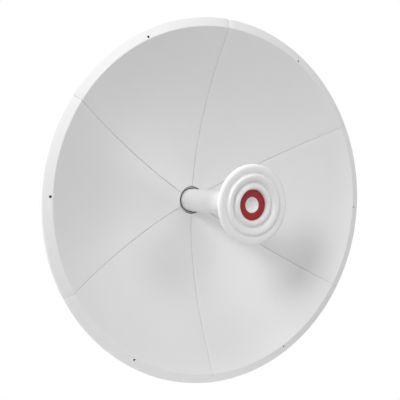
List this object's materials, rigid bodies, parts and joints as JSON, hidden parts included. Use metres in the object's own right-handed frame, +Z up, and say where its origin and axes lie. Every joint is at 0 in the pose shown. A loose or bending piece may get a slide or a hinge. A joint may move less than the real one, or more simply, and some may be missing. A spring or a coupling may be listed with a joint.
{
  "type": "microwave dish antenna",
  "caption": "Round parabolic microwave dish of joined petals with a flat rim band, a central feed tube with a stepped round cap, and a tilting bracket that clamps to a mast.",
  "frame": {"origin": "centre of the mast bracket's flat rear face, which the mast lies against", "axes": "+Z up along the mast, the dish looks along -Y, +Y points out of the bracket's rear face, +X to the right seen from in front of the dish"},
  "size_m": [0.65, 0.4404, 0.65],
  "materials": {
    "white_paint": "powder-coated off-white, satin",
    "white_plastic": "moulded white plastic, satin",
    "red_plastic": "deep red, satin",
    "cast_metal": "die-cast, fine grain",
    "grey_plastic": "moulded light grey",
    "galvanised_steel": "hot-dip galvanised",
    "bolt_steel": "stainless",
    "plated_brass": "nickel-plated"
  },
  "bodies": {
    "root": {"petal_1": "white_paint", "petal_2": "white_paint", "petal_3": "white_paint", "petal_4": "white_paint", "petal_5": "white_paint", "petal_6": "white_paint", "hub_casting": "cast_metal", "feed_collar": "white_plastic", "feed_tube": "white_plastic", "feed_cap": "white_plastic", "feed_cone": "white_plastic", "centre_disc": "white_plastic", "red_ring": "red_plastic", "feed_lock_ring": "galvanised_steel", "feed_housing": "grey_plastic", "coax_jack_left": "plated_brass", "coax_jack_right": "plated_brass", "hub_bracket": "galvanised_steel", "mast_bracket": "galvanised_steel", "clamp_strap_upper": "galvanised_steel", "clamp_strap_lower": "galvanised_steel", "pivot_bolt": "bolt_steel", "lock_bolt_left": "bolt_steel", "lock_bolt_right": "bolt_steel", "u_bolt_upper": "bolt_steel", "u_bolt_lower": "bolt_steel"}
  },
  "joints": []
}
